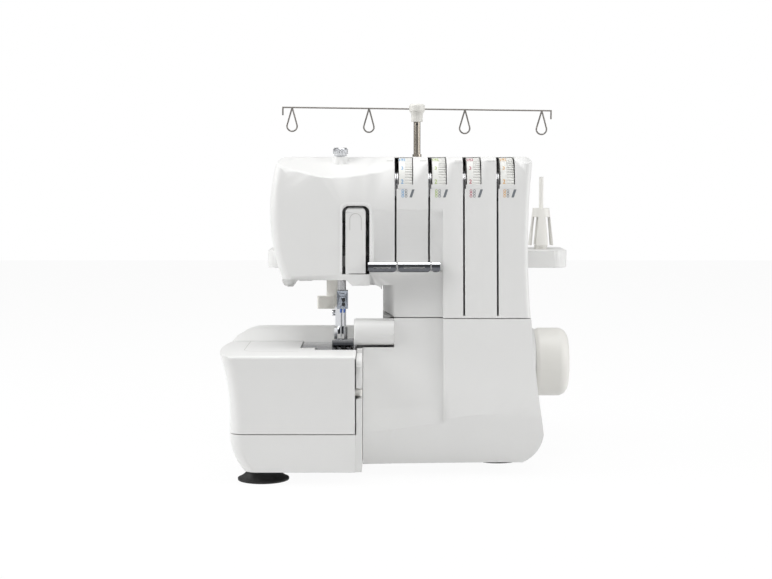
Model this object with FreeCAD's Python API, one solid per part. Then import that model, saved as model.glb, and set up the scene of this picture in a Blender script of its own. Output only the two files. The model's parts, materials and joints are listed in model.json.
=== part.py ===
import FreeCAD
import Part
import math
import os

V = FreeCAD.Vector
arc_mid = 1.0 - math.sqrt(0.5)   # how far a quarter round's middle stands off its corner, per unit of radius

# All sizes are millimetres. +X is the machine's right, +Y its back, +Z up, floor at Z = 0.

# Fits and walls
wall = 2.6                  # moulded cover wall
seam = 0.7                  # open seam between two covers
run_fit = 0.05              # radial running clearance of shafts and bars
loose = 0.4                 # clearance between moving pieces that are no fit

# Upper body: head and column
head_left = -110.5          # head's left side at its lower edge
head_belly = -122.0         # head's left side where it bulges most
head_shoulder = -117.0      # head's left side at the crown
body_right = 117.0          # column's right side at the crown
body_waist = 112.9          # column's right side at half height
body_skirt = 115.2          # column's right side at the door seam
head_bottom = 177.0
arm_bottom = 172.0
body_top = 288.5
shoulder_z = body_top - 7.5
head_belly_z = body_top - 46.5
throat_x = -19.0            # column's left side
throat_round = 8.0
panel_x = 35.5              # step between the left and right front panels
column_edge = -8.0          # front edge of the column's left side
door_top = 142.2
front_low_y = -93.0         # front face at the door seam
front_high_y = -75.5        # front face at the shoulder
rear_y = 50.0               # back face
rear_top_y = 46.0
split_y = -5.0              # seam between front cover and rear cover
edge_round = 9.0            # rounding of the head's left edges
side_round = 5.0            # rounding of the column's right front edge
corner_block = (7.0, 12.0)  # solid corner inside the head's left back edge
back_round = 16.0           # rounding between top and back
panel_low_y = -84.5         # left front panel at the door seam
panel_high_y = -78.0        # left front panel under the thread guides
scoop_r = 62.0              # hollow above the thread guides
scoop_depth = 8.0
scoop_z = 217.0
lip_drop = 6.5              # lip under the head's left side
arm_step_x = -42.0          # underside steps down to the arm here
arm_step_run = 5.0
# Front edge of the crown: X and depth below the top.
crown_drop = ((-126.0, 4.5), (-118.0, 7.5), (-62.0, 19.5), (-7.0, 12.0), (32.0, 7.5), (126.0, 7.0))
crown_slope = 0.47          # rise of the crown for each millimetre back

# Lower body and looper door
body_bottom = 11.0
door_left = -37.1
door_right_low = 108.0      # flat underside ends here
foot_right = 126.6          # widest point of the lower body
foot_right_z = 38.0
waist_mid = (119.0, 95.0)   # lower body's right side, half way up
door_lean = 0.141           # lean of the door's front for each millimetre of height
door_depth_y = -84.0        # back edge of the door's returns
door_crease = ((-60.0, 29.0), (-43.5, 34.6), (35.5, 52.4), (77.5, 57.2), (140.0, 53.0))
undercut_slope = 4.2
panel_crease_z = 42.0       # the door's left panel meets the undercut here
panel_mid = (-92.8, 95.0)   # the door's left panel, half way up
door_notch_x = -8.8         # left of this the door stays below the knife guard
door_notch_z = 115.8
door_wall = 3.0
door_axis = (-88.0, 20.0)   # hinge line, Y and Z
base_seam_z = 50.0          # seam between base pan and rear cover
floor_front_y = -77.5       # front edge of the base pan's floor behind the door
door_slide = 8.0            # door moves right before it opens
hinge_rod_r = 2.0
knuckle_r = 4.0
lug_width = 5.0
lug_x = (-30.0, 100.0)
knuckle_x = (-20.0, 78.0)
knuckle_width = 12.0

# Bed
bed_right = -43.0
bed_front = -140.0
bed_rear = 50.0
bed_seam_z = 44.4
bed_top = 114.0
bed_tip = -166.2            # left tip of the cloth plate
bed_left_mid = -160.2       # bed's left side above the seam
bed_left_seam = -157.9      # bed's left side at the seam
bed_left_low = -145.7       # bed's left side at the bottom
bed_left_knee = -154.3      # bed's left side above its rounded foot
bed_knee_z = 24.0
bed_mid_z = 88.0
bed_tip_y = -92.0
bed_cover_end_y = -8.0      # front edge of the rear bed cover beside the column
plate_gap = 1.2             # gap round the needle plate
stop_right = -37.5          # small white stop beside the needle plate
stop_y = -98.0
bed_round = 2.5             # rounding of the cloth plate's front edge
bed_hump = 8.0              # rise of the rear bed cover
plate_split_y = -25.0       # seam between cloth plate and rear bed cover
end_wall_x = (-42.5, -37.5)
end_wall_front = -138.0
end_wall_top = 112.0
latch_z = (77.5, 84.0)
latch_y = (-133.0, -124.0)
latch_right = -37.2

# Stitching parts
needle_x = -56.4
needle_y = -58.0
needle_pitch = 3.2
needle_r = 0.6
needle_shank_r = 1.0
clamp_screw_z = (4.0, 8.4)
needle_tip = 121.0
needle_stroke = 22.0
bar_r = 3.2
clamp_z = (148.6, 165.4)
clamp_width = 10.0
presser_x = -58.5
presser_y = -42.0
presser_r = 3.0
presser_lift = 5.0
foot_z = (115.2, 122.0)
foot_x = (-65.5, -46.2)
foot_y = (-80.0, -32.0)
foot_pin_y = -44.0
foot_pin_z = 126.5
shank_z = (131.0, 149.0)
shank_half = 5.0
lug_half = 2.8
ear_step = 4.7              # foot's ears from the presser bar's centre
ear_half = 1.5
foot_pin_r = 1.4
pressure_knob_r = 7.0
pressure_knob_top = 297.0
knob_grooves = 14
plate_x = (-93.5, -79.5, -44.5)   # needle plate: wide left edge, narrow left edge, right edge
plate_y = (-92.0, -76.0, -30.0)   # needle plate: front, step, back
plate_thick = 2.0
dog_rise = 0.7
dog_travel = 1.75
dog_low = 105.0
dog_width = 2.4
dog_rows = (-9.0, -3.6, 5.0)
dog_pads = ((-81.0, -66.0), (-51.0, -36.0))
knife_travel = 8.0
guard_r = 12.4
guard_x = (-45.3, -8.8)
guard_y = -80.0
guard_z = 129.0

# Thread path
dial_x = (-4.5, 26.0, 57.5, 88.0)
dial_width = 12.2
dial_r = 26.0
dial_y = -51.5
dial_z = 261.5
tension_shaft_r = 3.0
slot_width = 1.7
slot_gap = 3.8              # from the slot's left side to the dial's left side
slot_low = (193.0, 193.0, 145.0, 145.0)
recess_x = (-56.0, -31.2)
recess_top = 244.0
recess_round = 6.0
cover_bar_x = (-53.0, -34.7)
cover_bar_round = 5.0
cover_bar_top = 242.8
cover_bar_low = 183.0
guide_spans = ((-32.4, -7.0), (-5.4, 23.9), (25.0, 32.7))
guide_corner = 3.0          # rounding of a thread guide's lower corners
guide_slot = (5.0, 1.2)     # slot in a thread guide: from its ends, height
guide_z = (184.6, 193.6)
guide_sheet = 1.2

# Spool stand
stand_x = 15.5
stand_y = 100.0
tray_half = 151.1
tray_y = (62.0, 140.0)
tray_z = (178.0, 195.0)
tray_corner = 14.0
tray_wall = 2.5
pin_step = (49.0, 127.5)
pin_r = 2.2
pin_top = 269.0
cone_z = (199.0, 237.0)
cone_r = (13.0, 8.5)
cone_wall = 2.0
cone_legs = 4
pole_r = 3.5
pole_sleeve_r = 4.6
pole_sleeve_top = 292.0
pole_low = 160.0
pole_top = 333.0
pole_travel = 110.0
holder_z = (pole_top - 8.0, pole_top + 10.0)
guide_wire_r = 0.8
guide_wire_z = pole_top + 5.0
guide_wire_end = 9.5        # wire beyond the outer loops
guide_wire_half = pin_step[1] + guide_wire_end
loop_r = 5.2
loop_drop = 19.0
hook_drop = 8.0
wire_tilt = 0.73            # the guide wire hangs down to the right by this many degrees

# Drive
shaft_y = 10.0
shaft_z = 90.0
shaft_r = 5.0
shaft_left = -15.5
wheel_x = (127.6, 159.9)
boss_gap = 0.4              # between the handwheel and the boss behind it
wheel_r = 33.0
wheel_round = 9.0
pulley_x = (102.0, 112.0)
pulley_r = 24.0
motor_y = 17.0
motor_z = 52.0
motor_r = 19.0
motor_x = (8.0, 78.0)
motor_pulley_r = 8.0
motor_shaft_r = 2.5
belt_thick = 2.0
cheek_x = ((-15.0, -7.0), (84.0, 92.0))
bush_wall = 2.5
frame_z = (22.0, 30.0)      # frame casting's bed
spine_front_y = 14.0        # front of the upright web behind the bars
post_r = 6.0
post_places = ((-80.0, -40.0), (-25.0, -40.0), (100.0, -60.0), (-20.0, 30.0), (100.0, 36.0))
lifter_x = -70.0
lifter_z = 186.0
lifter_pin_r = 4.0
lifter_back_y = 50.8
lifter_thick = 7.0
lifter_toe_z = (137.8, 150.2)
case_screw_x = (-8.0, 104.0)
case_screw_z = (64.0, 132.0)
disc_r = 14.0
dial_ribs = 60
bracket_half = 16.0
inlet_y = (-34.0, -12.0)
inlet_z = (24.0, 42.0)
switch_y = (-62.0, -44.0)
switch_z = (25.0, 41.0)
setting_y = -55.0
setting_z = (114.0, 76.0)   # stitch length dial, differential dial
setting_r = 12.0
setting_stem_r = 4.0
setting_deep = 7.5          # depth of the setting dials' wells
setting_sunk = 2.2          # dial faces lie this far inside the side wall
setting_ribs = 18
hub_r = 11.0
belt_fit = 0.3
frame_x = (-76.0, 108.0)
frame_front_y = -62.0
arm_z = (228.0, 264.0)
bridge_z = ((188.0, 198.0), (232.0, 242.0), (266.0, 274.0))
tension_post_x = ((-14.5, -9.5), (103.5, 109.5))
plate_post_y = (-56.0, -42.0)
looper_block_x = (-46.0, -18.0)
looper_block_y = (-26.0, -14.0)
looper_block_top = 94.0
looper_hub_r = 5.0
lower_looper_y = (-52.0, -46.0)
upper_looper_y = (-74.0, -68.0)
feed_block_y = (-28.0, -16.0)
lower_looper_axis = (-30.0, 60.0)
upper_looper_axis = (-23.0, 84.0)
looper_pin_r = 2.0
knife_rod = (-39.5, -20.0)
knife_rod_r = 2.5
screw_r = 4.0

# Feet
cup_r = 23.0
cup_stem_r = 5.0
cup_neck_r = 15.0
cup_places = ((-126.2, -114.0), (89.5, -21.0), (-112.0, 22.0), (97.0, 26.0))


def box(x, y, z):
    return Part.makeBox(x[1] - x[0], y[1] - y[0], z[1] - z[0], V(x[0], y[0], z[0]))


def rod_x(x0, x1, y, z, r):
    return Part.makeCylinder(r, x1 - x0, V(x0, y, z), V(1, 0, 0))


def rod_y(y0, y1, x, z, r):
    return Part.makeCylinder(r, y1 - y0, V(x, y0, z), V(0, 1, 0))


def rod_z(z0, z1, x, y, r):
    return Part.makeCylinder(r, z1 - z0, V(x, y, z0), V(0, 0, 1))


def rod_between(a, b, r):
    way = b - a
    return Part.makeCylinder(r, way.Length, a, way)


def fuse(*shapes):
    return shapes[0].multiFuse(list(shapes[1:])).removeSplitter()


def place(plane, level, point):
    if plane == "xz":
        return V(point[0], level, point[1])
    if plane == "yz":
        return V(level, point[0], point[1])
    return V(point[0], point[1], level)


def outline(plane, level, start, *steps):
    # A step is one point (line), two points (arc through the first) or a longer list (smooth curve).
    edges = []
    here = place(plane, level, start)
    for step in steps:
        if isinstance(step[0], (int, float)):
            there = place(plane, level, step)
            edges.append(Part.LineSegment(here, there).toShape())
        else:
            points = [place(plane, level, p) for p in step]
            there = points[-1]
            if len(points) == 2:
                edges.append(Part.Arc(here, points[0], there).toShape())
            else:
                curve = Part.BSplineCurve()
                curve.interpolate([here] + points)
                edges.append(curve.toShape())
        here = there
    first = place(plane, level, start)
    if (here - first).Length > 1e-6:
        edges.append(Part.LineSegment(here, first).toShape())
    return Part.Wire(edges)


def prism(plane, levels, *points, inset=0.0):
    wire = outline(plane, levels[0], *points)
    if inset:
        wire = wire.makeOffset2D(-inset)
    way = place(plane, levels[1] - levels[0], (0.0, 0.0))
    return Part.Face(wire).extrude(way)


def tube_z(z0, z1, x, y, outer, inner):
    return rod_z(z0, z1, x, y, outer).cut(rod_z(z0, z1, x, y, inner))


def round_box(x, y, z, r):
    block = box(x, y, z)
    return block.makeFillet(r, [e for e in block.Edges if abs(e.Vertexes[0].Z - e.Vertexes[1].Z) > 1e-6])


span_x = (bed_tip - 20.0, foot_right + 40.0)
span_y = (bed_front - 20.0, tray_y[1])
span_z = (0.0, holder_z[1])
front_rate = (front_high_y - front_low_y) / (shoulder_z - door_top)


def front_y(z):
    return front_low_y + (z - door_top) * front_rate


def door_y(z):
    return front_low_y - (door_top - z) * door_lean


# Head and column as one form; the inset form gives the hollow inside the covers.
def upper_form(inset):
    low = door_top + seam
    top = body_top - inset
    left = head_shoulder + inset
    right = body_right - inset
    under = arm_bottom + inset
    throat = throat_x + inset
    bend = throat_round * arc_mid
    face = prism(
        "xz", span_y,
        (head_left + inset, head_bottom + inset),
        ((head_belly + inset, head_belly_z), (left, shoulder_z - inset)),
        ((left + 3.5, top - 2.5), (left + 13.0, top)),
        (right - 7.5, top),
        ((right - 1.9, top - 1.9), (right, shoulder_z - inset)),
        ((body_waist - inset, 200.0), (body_skirt - inset, low)),
        (throat, low),
        (throat, under - throat_round),
        ((throat - bend, under - bend), (throat - throat_round, under)),
        (arm_step_x - arm_step_run, under),
        (arm_step_x - arm_step_run * 2, head_bottom + inset))
    side = prism(
        "yz", span_x,
        (front_y(low) + inset, low),
        (front_y(top) + inset, top),
        (rear_top_y - back_round - inset, top),
        ((rear_top_y - back_round * arc_mid - inset, top - back_round * arc_mid),
         (rear_top_y - inset, top - back_round)),
        (rear_y - inset, low))
    form = face.common(side)
    form = form.makeFillet(edge_round - inset, tall_edges(form, True, -1))
    if inset:
        form = form.cut(box((span_x[0], head_left + corner_block[0]),
                            (rear_top_y - corner_block[1], span_y[1]), span_z))
    else:
        form = form.makeFillet(edge_round, tall_edges(form, False, -1))
    form = form.makeFillet(side_round - inset, tall_edges(form, True, 1))
    for cutter in upper_cutters(inset):
        form = form.cut(cutter)
    return form


def tall_edges(form, front, side):
    # The upright edges on one side of the form, front or back.
    found = []
    for edge in form.Edges:
        bounds = edge.BoundBox
        upright = bounds.ZLength > 80.0 and abs(bounds.Center.x - side * body_right) < 15.0
        if upright and (bounds.YMax < split_y) == front:
            found.append(edge)
    return found


def upper_cutters(inset):
    back_off = 24.0
    reach = 90.0
    ahead = front_low_y - 20.0
    crown_y = front_y(shoulder_z) - back_off
    points = [(x, body_top - drop - back_off * crown_slope - inset) for x, drop in crown_drop]
    wire = outline("xz", crown_y, (points[0][0], body_top + 40.0), points[0], points[1:],
                   (points[-1][0], body_top + 40.0))
    crown = Part.Face(wire).extrude(V(0, reach, reach * crown_slope))
    scoop = rod_x(recess_x[1] + 4.0 - inset, panel_x + inset,
                  front_y(scoop_z) + scoop_depth - scoop_r, scoop_z, scoop_r + inset)
    under = prism("yz", (throat_x - 12.0 - inset, panel_x + inset), (ahead, door_top - 2.0),
                  (panel_low_y + inset, door_top - 2.0), (panel_high_y + inset, guide_z[0] + inset),
                  (ahead, guide_z[0] + inset))
    corner = prism("xy", (door_top - 2.0, arm_bottom + inset), (throat_x - 1.0, ahead),
                   (column_edge + inset, ahead), (column_edge + inset, panel_low_y),
                   (throat_x + inset, split_y - 12.0), (throat_x - 1.0, split_y - 12.0))
    return crown, scoop, under, corner


def upper_shell():
    shell = upper_form(0.0).cut(upper_form(wall))
    column_floor = box((throat_x + wall, body_skirt - wall), (panel_low_y + wall * 2, rear_y - wall),
                       (door_top - 1.0, door_top + seam + wall + 1.0))
    return shell.cut(column_floor.cut(upper_cutters(wall)[3]))


def dial_window(x):
    # Opening for one tension dial and, to its left, the thread slot.
    left = x - slot_gap
    right = x + dial_width + loose * 2
    return box((left, right), (span_y[0], dial_y), (dial_z - 2.0, span_z[1]))


def thread_slot(x, low):
    left = x - slot_gap
    return box((left, left + slot_width), (span_y[0], dial_y), (low, dial_z + 10.0))


def make_front_cover(shell):
    cover = shell.common(box(span_x, (span_y[0], split_y), span_z))
    lip = prism("xz", (front_y(head_bottom) + edge_round, split_y), (head_left, head_bottom + 2.0),
                ((head_left + 1.8, head_bottom - lip_drop * 0.75), (head_left + 6.5, head_bottom - lip_drop)),
                (head_left + 9.5, head_bottom - lip_drop), (head_left + 12.5, head_bottom + 2.0))
    cover = fuse(cover, lip)
    for x, low in zip(dial_x, slot_low):
        room = rod_x(x - slot_gap, x + dial_width + loose * 2, dial_y, dial_z, dial_r + loose)
        cover = cover.cut(dial_window(x)).cut(thread_slot(x, low)).cut(room)
    recess_low = cover_bar_low - seam
    recess = prism("xz", (span_y[0], panel_high_y + 8.0), (recess_x[0], recess_low),
                   (recess_x[0], recess_top - recess_round),
                   ((recess_x[0] + recess_round * arc_mid, recess_top - recess_round * arc_mid),
                    (recess_x[0] + recess_round, recess_top)),
                   (recess_x[1] - recess_round, recess_top),
                   ((recess_x[1] - recess_round * arc_mid, recess_top - recess_round * arc_mid),
                    (recess_x[1], recess_top - recess_round)),
                   (recess_x[1], recess_low))
    cover = cover.cut(recess)
    sole = box((head_left + 28.0, arm_step_x), (needle_y - 12.0, split_y + 1.0),
               (arm_bottom - 10.0, head_bottom + wall + 2.0))
    knob_hole = rod_z(shoulder_z - 12.0, body_top + 5.0, presser_x, presser_y, screw_r + loose)
    knob_seat = rod_z(body_top - 8.0, body_top, presser_x, presser_y, pressure_knob_r)
    return fuse(cover, knob_seat).cut(sole).cut(knob_hole)


# Lower body: the looper door in front, base pan and rear cover behind it.
def lower_form(inset, left):
    low = body_bottom + inset
    top = door_top - inset
    corner = foot_right - (foot_right_z - body_bottom) * arc_mid
    face = prism(
        "xz", span_y,
        (left, low), (door_right_low, low),
        ((corner - inset * 0.7, body_bottom + (foot_right_z - body_bottom) * arc_mid + inset * 0.7),
         (foot_right - inset, foot_right_z)),
        ((waist_mid[0] - inset, waist_mid[1]), (body_skirt - inset, top)),
        (left, top))
    side = prism(
        "yz", span_x,
        (door_y(body_bottom) + inset, low), (front_low_y + inset, top), (rear_y - inset, top),
        (rear_y - inset, body_bottom + 18.0), (rear_y - 8.0 - inset, low))
    form = face.common(side)
    panel = prism(
        "yz", (span_x[0], panel_x + inset),
        (door_y(panel_crease_z) + inset, panel_crease_z),
        ((panel_mid[0] + inset, panel_mid[1]), (panel_low_y + inset, door_top + 1.0)),
        (span_y[0], door_top + 1.0), (span_y[0], panel_crease_z))
    start_y = door_y(body_bottom) - 12.0
    points = [(x, z + undercut_slope * (door_y(z) + inset - start_y)) for x, z in door_crease]
    wire = outline("xz", start_y, (points[0][0], -200.0), points[0], points[1:], (points[-1][0], -200.0))
    undercut = Part.Face(wire).extrude(V(0, 60.0, -60.0 * undercut_slope))
    return form.cut(panel).cut(undercut)


def make_looper_door():
    shell = lower_form(0.0, door_left).cut(lower_form(door_wall, door_left - 1.0))
    door = shell.common(box(span_x, (span_y[0], door_depth_y), span_z))
    door = door.cut(box((span_x[0], door_notch_x), span_y, (door_notch_z, span_z[1])))
    y, z = door_axis
    behind = box(span_x, (y + knuckle_r, 0.0), (0.0, z + knuckle_r + 4.0))
    door = door.cut(behind)
    for x in knuckle_x:
        knuckle = fuse(rod_x(x, x + knuckle_width, y, z, knuckle_r),
                       box((x, x + knuckle_width), (door_y(z) + 1.5, y), (z - 2.0, z + knuckle_r)))
        door = fuse(door, knuckle.common(lower_form(0.0, door_left)))
    for x in lug_x:
        door = door.cut(box((x - door_slide - loose, x + lug_width + loose), (y - knuckle_r + loose * 2, 0.0),
                            (0.0, z - knuckle_r - loose)))
    return door.cut(rod_x(span_x[0], span_x[1], y, z, hinge_rod_r + run_fit))


def make_door_hinge_rod():
    y, z = door_axis
    return rod_x(lug_x[0] + 1.2 - door_slide, lug_x[1] + lug_width + 3.0, y, z, hinge_rod_r)


def make_rear_cover(shell):
    upper = shell.common(box(span_x, (split_y + seam, span_y[1]), span_z))
    lower = lower_form(0.0, throat_x).cut(lower_form(wall, throat_x + wall))
    open_top = box((throat_x + wall, body_skirt - wall), (span_y[0], rear_y - wall),
                   (door_top - wall - 1.0, door_top + 1.0))
    ledge = upper_cutters(wall)[3].translated(V(0, 0, -wall))
    ledge = ledge.common(box(span_x, (guard_y + guard_r + seam, split_y), span_z))
    open_top = open_top.cut(ledge)
    band = (base_seam_z + seam, door_top)
    lower = lower.cut(open_top).common(box(span_x, (door_depth_y + seam, span_y[1]), band))
    left_wall = (throat_x - 1.0, throat_x + wall)
    looper_window = box(left_wall, (span_y[0], bed_cover_end_y), (0.0, end_wall_top))
    guard_window = box(left_wall, (span_y[0], guard_y + guard_r + seam), span_z)
    panel_window = box((throat_x - 1.0, panel_x + wall + 2.0), (span_y[0], panel_low_y + wall * 2), span_z)
    lower = lower.cut(looper_window).cut(guard_window).cut(panel_window)
    join = box((throat_x, body_skirt - wall), (rear_y - wall, rear_y),
               (door_top - 2.0, door_top + seam + 4.0))
    cover = fuse(upper, lower, join)
    shaft_hole = rod_x(body_skirt - 20.0, foot_right + 5.0, shaft_y, shaft_z, shaft_r + 2.0)
    lifter_hole = rod_y(rear_top_y - 10.0, rear_y + 5.0, lifter_x, lifter_z, lifter_pin_r + run_fit)
    for z in setting_z:
        well = wall_x(z) - setting_deep
        cup = rod_x(well - 4.0, wall_x(z) - wall, setting_y, z, setting_r + wall)
        cover = fuse(cover, cup).cut(rod_x(well, foot_right + 5.0, setting_y, z, setting_r + loose))
        cover = cover.cut(rod_x(well - 5.0, foot_right, setting_y, z, setting_stem_r + run_fit))
    boss_end = wheel_x[0] - boss_gap
    boss = rod_x(body_skirt - boss_gap, boss_end, shaft_y, shaft_z, wheel_r - boss_gap)
    hollow = rod_x(body_skirt - boss_gap, boss_end - wall, shaft_y, shaft_z, wheel_r - boss_gap - wall)
    cover = fuse(cover, boss.cut(hollow))
    return cover.cut(shaft_hole).cut(lifter_hole)


# Bed: a lofted box whose left side flares out towards the top.
def bed_wire(z, left, inset):
    front = bed_front + inset
    rear = bed_rear - inset
    left = left + inset
    return outline(
        "xy", z, (bed_right, front), (left + 16.0, front),
        ((left + 7.2, front + 3.6), (left + 4.0, front + 13.0)),
        ((left, bed_tip_y), (left + 13.0, rear - 40.0)),
        ((left + 21.0, rear - 14.0), (left + 42.0, rear)),
        (bed_right, rear))


def bed_loft(sections, inset):
    return Part.makeLoft([bed_wire(z, left, inset) for z, left in sections], True, False)


def upper_bed(inset, top):
    low = bed_seam_z + seam
    sections = ((low, bed_left_seam), (bed_mid_z, bed_left_mid), (bed_top, bed_tip))
    form = bed_loft(sections, inset)
    if top > bed_top:
        form = fuse(form, bed_loft(((bed_top, bed_tip), (top, bed_tip)), inset))
    return form.common(box(span_x, span_y, (0.0, top)))


def plate_side(gap):
    # Everything in front of the seam, round the needle plate.
    front = box(span_x, (span_y[0], plate_split_y - gap), span_z)
    notch = prism(
        "xy", span_z,
        (plate_x[0] - plate_gap - gap, span_y[1]),
        (plate_x[0] - plate_gap - gap, plate_y[1] - plate_gap - gap),
        (plate_x[1] - plate_gap - gap, plate_y[1] - plate_gap - gap),
        (plate_x[1] - plate_gap - gap, plate_y[0] - plate_gap - gap),
        (0.0, plate_y[0] - plate_gap - gap), (0.0, span_y[1]))
    return front.cut(notch)


def make_cloth_plate():
    shell = upper_bed(0.0, bed_top)
    hollow = upper_bed(wall, bed_top - wall)
    open_end = box((bed_right - 0.5, bed_right + 1.0), span_y, (0.0, bed_top - wall))
    plate = shell.cut(hollow).cut(open_end).common(plate_side(0.0))
    soft_edge = prism(
        "yz", span_x, (bed_front, 0.0), (bed_front, bed_top - bed_round),
        ((bed_front + bed_round * arc_mid, bed_top - bed_round * arc_mid), (bed_front + bed_round, bed_top)),
        (span_y[1], bed_top), (span_y[1], 0.0))
    plate = plate.common(soft_edge)
    lugs = [box((bed_right - 9.0, bed_right - 2.0), (bed_front + 1.0, latch_y[1] + 4.0), (z, z + 2.0))
            for z in (latch_z[0] - 2.5, latch_z[1] + 0.5)]
    return fuse(plate, *lugs)


def make_bed_rear_cover():
    top = bed_top + bed_hump
    form = upper_bed(0.0, top + 2.0)
    crown = prism(
        "yz", span_x, (span_y[0], 0.0), (span_y[0], bed_top), (plate_split_y, bed_top),
        ((plate_split_y + 28.0, bed_top + bed_hump * 0.82), (bed_rear - 8.0, top)),
        ((bed_rear - 2.0, top - 2.0), (bed_rear, top - 8.0)), (bed_rear, 0.0))
    shoulder = prism(
        "xz", span_y, (bed_tip, 0.0), (bed_tip, bed_top),
        ((bed_tip + 11.0, bed_top + bed_hump * 0.68), (bed_tip + 32.0, top)),
        (throat_x, top), (throat_x, 0.0))
    solid = form.common(crown).common(shoulder)
    hollow = upper_bed(wall, bed_top - wall)
    cover = solid.cut(hollow)
    cover = cover.common(box(span_x, (span_y[0], bed_rear), span_z)).cut(plate_side(-seam))
    open_end = box((bed_right - 0.5, bed_right + 1.0), span_y, (0.0, bed_top - wall))
    needle_room = box((plate_x[0] - plate_gap - seam, 0.0), (span_y[0], plate_y[2] + seam), span_z)
    bridge = box((bed_right - 1.0, throat_x - seam), (bed_cover_end_y, bed_rear), (bed_top - wall, top + 2.0))
    bridge = bridge.common(crown)
    return fuse(cover.cut(open_end), bridge).cut(needle_room)


def make_base_pan():
    low_bed = bed_loft(((body_bottom, bed_left_low), (bed_knee_z, bed_left_knee),
                        (bed_seam_z, bed_left_seam)), 0.0)
    room = bed_loft(((body_bottom + wall, bed_left_low), (bed_knee_z, bed_left_knee),
                     (bed_seam_z + 1.0, bed_left_seam)), wall)
    door_room = box((bed_right - wall, 0.0), (floor_front_y, bed_rear - wall),
                    (body_bottom + wall, span_z[1]))
    bed = low_bed.cut(room.cut(box((bed_right - wall, 0.0), span_y, span_z)).cut(door_room))
    bed = bed.cut(door_room)
    body = lower_form(0.0, bed_right - 1.0).cut(lower_form(wall, bed_right - 5.0))
    body = body.common(box((bed_right - 1.0, span_x[1]), (floor_front_y, span_y[1]), (0.0, base_seam_z)))
    body = body.cut(box((bed_right - 2.0, bed_right + seam), span_y, (bed_seam_z, span_z[1])))
    wall_top = prism(
        "yz", end_wall_x, (end_wall_front, body_bottom), (end_wall_front, end_wall_top - 8.0),
        ((end_wall_front + 2.3, end_wall_top - 2.3), (end_wall_front + 8.0, end_wall_top)),
        (door_depth_y, end_wall_top), (door_depth_y, body_bottom))
    foot = box((bed_right - 2.0, end_wall_x[1]), (end_wall_front, floor_front_y + 4.0),
               (body_bottom, bed_seam_z))
    notch = box((end_wall_x[0] - 3.0, end_wall_x[1] + 1.0), (span_y[0], latch_y[1] + 4.0),
                (latch_z[0] - 1.5, latch_z[1] + 1.5))
    stop = box((end_wall_x[0], stop_right), (stop_y, door_depth_y - 4.0),
               (end_wall_top - 2.0, end_wall_top + 3.0))
    y, z = door_axis
    lugs = []
    for x in lug_x:
        side = (x, x + lug_width)
        lugs.append(box(side, (floor_front_y, floor_front_y + 4.0), (body_bottom, z + 4.0)))
        lugs.append(box(side, (y, floor_front_y + 4.0), (z - 2.6, z + 4.0)))
        lugs.append(rod_x(side[0], side[1], y, z, knuckle_r - 0.4))
    posts = [rod_z(body_bottom, frame_z[0], px, py, post_r) for px, py in post_places]
    base = fuse(bed, body, wall_top.cut(notch), foot, stop, *lugs, *posts)
    base = base.cut(rod_x(span_x[0], span_x[1], y, z, hinge_rod_r + run_fit).common(box(
        (lug_x[0] - 4.0, lug_x[1] + lug_width + 4.0), span_y, span_z)))
    for cx, cy in cup_places:
        base = base.cut(rod_z(0.0, body_bottom + wall + 1.0, cx, cy, cup_stem_r))
    for y, z in ((inlet_y, inlet_z), (switch_y, switch_z)):
        base = base.cut(box((foot_right - 20.0, foot_right + 5.0), y, z))
    return base


# Frame casting: bed, two cheeks, arm and the bridges that guide the bars.
def make_frame_casting():
    bed = box(frame_x, (frame_front_y, rear_y - wall - 6.0), frame_z)
    tongue = box((plate_x[0], frame_x[0] + 1.0), (plate_post_y[0] - 4.0, plate_y[2]), frame_z)
    parts = [bed, tongue]
    for x in cheek_x:
        parts.append(box(x, (shaft_y - 17.0, rear_top_y - 8.0), (frame_z[0], arm_z[1])))
    parts.append(box((head_left + 12.0, tension_post_x[1][1]), (shaft_y - 2.0, rear_top_y - 8.0), arm_z))
    spine_y = (spine_front_y, rear_top_y - 8.0)
    bridge_x = (presser_x - 15.0, presser_x + 14.0)
    parts.append(box(bridge_x, spine_y, (bridge_z[0][0], bridge_z[2][1])))
    for z, front in zip(bridge_z, (needle_y - 8.0, needle_y - 8.0, presser_y - 8.0)):
        parts.append(box(bridge_x, (front, spine_y[1]), z))
    for x in tension_post_x:
        parts.append(box(x, (dial_y - tension_shaft_r - 3.0, shaft_y), (dial_z - 6.0, arm_z[1])))
    parts.append(box((plate_x[0] + 1.0, plate_x[1] - 1.0), plate_post_y, (frame_z[0], bed_top - plate_thick)))
    parts.append(box((plate_x[2] - 2.4, plate_x[2]), (plate_y[2] - 12.0, plate_y[2]),
                     (frame_z[0], bed_top - plate_thick)))
    parts.append(box(looper_block_x, looper_block_y, (frame_z[0], looper_block_top)))
    parts.append(box((needle_x - 19.0, needle_x - 7.0), feed_block_y, (frame_z[0], bed_top - wall - seam)))
    casting = fuse(*parts).cut(feed_bar(run_fit))
    casting = casting.cut(rod_x(span_x[0], span_x[1], shaft_y, shaft_z, shaft_r + bush_wall))
    casting = casting.cut(rod_x(motor_x[1], span_x[1], motor_y, motor_z, motor_shaft_r + 2.0))
    casting = casting.cut(rod_z(bridge_z[0][0] - 1.0, bridge_z[1][1] + 1.0, needle_x, needle_y,
                                bar_r + bush_wall))
    casting = casting.cut(rod_z(bridge_z[0][0] - 1.0, bridge_z[1][1] + 1.0, presser_x, presser_y,
                                presser_r + bush_wall))
    casting = casting.cut(rod_z(bridge_z[2][0] - 1.0, bridge_z[2][1] + 1.0, presser_x, presser_y,
                                screw_r + run_fit))
    casting = casting.cut(rod_x(span_x[0], span_x[1], dial_y, dial_z, tension_shaft_r))
    for x, z in (lower_looper_axis, upper_looper_axis):
        casting = casting.cut(rod_y(span_y[0], looper_block_y[1], x, z, looper_pin_r))
    return casting.cut(rod_z(frame_z[1] + 2.0, looper_block_top + 1.0, knife_rod[0], knife_rod[1],
                             knife_rod_r + run_fit))


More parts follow.
